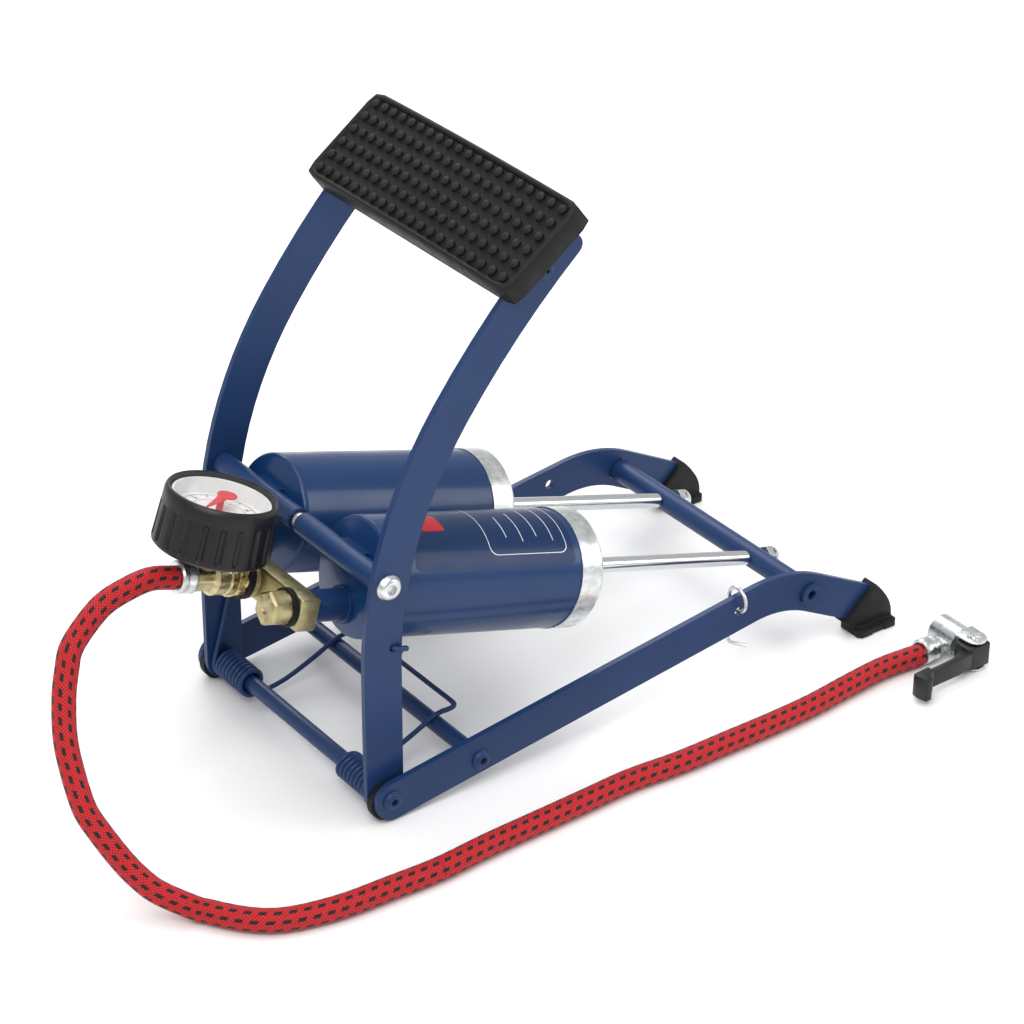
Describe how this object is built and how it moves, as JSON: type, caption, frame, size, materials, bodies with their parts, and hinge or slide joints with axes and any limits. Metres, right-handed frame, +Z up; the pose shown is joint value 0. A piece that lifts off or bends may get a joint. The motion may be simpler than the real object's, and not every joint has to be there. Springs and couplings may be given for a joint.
{
  "type": "foot air pump",
  "caption": "Twin-barrel foot air pump with a hinged pedal frame, outlet manifold, fluted pressure gauge, braided hose and lever chuck.",
  "frame": {"origin": "centre of the pump's outline on the floor, hose left out", "axes": "+X towards the rear feet, +Y towards the pump's far side, +Z up"},
  "size_m": [0.461, 0.2363, 0.2849],
  "materials": {
    "navy_powder_coat": "satin powder coat",
    "zinc_plate": "zinc plated",
    "bright_rod_steel": "ground bright",
    "blue_spring_steel": "navy paint",
    "brass": "machined",
    "black_rubber": "moulded matt",
    "black_plastic": "moulded",
    "white_dial": "printed card",
    "red_needle": "matt paint",
    "clear_lens": "clear",
    "red_braid": "braided sleeve"
  },
  "bodies": {
    "base": {"side_rail_left": "navy_powder_coat", "side_rail_right": "navy_powder_coat", "front_axle": "navy_powder_coat", "stay_rod": "navy_powder_coat", "rail_rivets": "navy_powder_coat", "axle_discs": "black_rubber", "rear_foot_left": "black_rubber", "rear_foot_right": "black_rubber", "return_spring": "blue_spring_steel", "hose": "red_braid", "hose_ferrule_rear": "zinc_plate", "chuck_body": "zinc_plate", "chuck_plates": "zinc_plate", "chuck_bush": "black_rubber", "chuck_pin": "zinc_plate"},
    "pedal": {"pedal_arm_left": "navy_powder_coat", "pedal_arm_right": "navy_powder_coat", "pedal_plate": "navy_powder_coat", "pedal_pad": "black_rubber", "arm_rivets": "navy_powder_coat", "trunnion_shaft": "zinc_plate", "shaft_bolts": "zinc_plate"},
    "barrels": {"barrel_left": "navy_powder_coat", "barrel_right": "navy_powder_coat", "barrel_sleeves": "navy_powder_coat", "rear_cap_left": "zinc_plate", "rear_cap_right": "zinc_plate", "outlet_spouts": "navy_powder_coat", "manifold_block": "brass", "banjo_bolts": "brass", "sealing_washers": "black_rubber", "outlet_tee": "brass", "tee_nut": "brass", "gauge_case": "black_plastic", "gauge_movement": "brass", "gauge_dial": "white_dial", "gauge_lens": "clear_lens", "hose_ferrule_front": "zinc_plate"},
    "rods": {"rear_cross_tube": "navy_powder_coat", "piston_rod_left": "bright_rod_steel", "piston_rod_right": "bright_rod_steel", "piston_washers": "zinc_plate", "dome_nuts": "zinc_plate"},
    "pistons": {"pistons": "black_plastic", "piston_cups": "black_rubber"},
    "rod_guides": {"rod_guides": "black_plastic"},
    "gauge_needle": {"gauge_needle": "red_needle"},
    "storage_hook": {"storage_hook": "zinc_plate"},
    "chuck_lever": {"chuck_lever": "black_plastic"}
  },
  "joints": [
    {"name": "pedal_hinge", "type": "hinge", "parent": "base", "child": "pedal", "pos_m": [-0.116, 0, 0.0116], "axis": [0, 1, 0], "range_deg": [0, 45], "stiffness_Nm_per_rad": 4, "springref_deg": -57.3, "deforming": ["return_spring"]},
    {"name": "barrel_trunnion", "type": "hinge", "parent": "pedal", "child": "barrels", "pos_m": [-0.1118, 0, 0.1207], "axis": [0, 1, 0], "range_deg": [-47, 1]},
    {"name": "rod_tube_hinge", "type": "hinge", "parent": "base", "child": "rods", "pos_m": [0.133, 0, 0.0339], "axis": [0, 1, 0], "range_deg": [-2, 1]},
    {"name": "piston_slide", "type": "slide", "parent": "barrels", "child": "pistons", "axis": [-0.9568, 0, 0.2907], "range_m": [0, 0.084]},
    {"name": "guide_slide", "type": "slide", "parent": "rods", "child": "rod_guides", "axis": [0.9568, 0, -0.2907], "range_m": [0, 0.084]},
    {"name": "needle_pivot", "type": "hinge", "parent": "barrels", "child": "gauge_needle", "pos_m": [-0.15423, 0, 0.14205], "axis": [0.2907, 0, 0.9568], "range_deg": [-240, 0], "stiffness_Nm_per_rad": 0.002},
    {"name": "hook_pivot", "type": "hinge", "parent": "base", "child": "storage_hook", "pos_m": [0.0875, -0.0769, 0.046], "axis": [1, 0, 0], "range_deg": [0, 14]},
    {"name": "lever_pivot", "type": "hinge", "parent": "base", "child": "chuck_lever", "pos_m": [0.191, -0.136, 0.0086], "axis": [0, 0, 1], "range_deg": [0, 90]}
  ],
  "couplings": [
    {"joint": "barrel_trunnion", "follows": "pedal_hinge", "ratio": -1.04},
    {"joint": "rod_tube_hinge", "follows": "pedal_hinge", "ratio": -0.04},
    {"joint": "piston_slide", "follows": "pedal_hinge", "m_per_rad": 0.106},
    {"joint": "guide_slide", "follows": "pedal_hinge", "m_per_rad": 0.106}
  ]
}
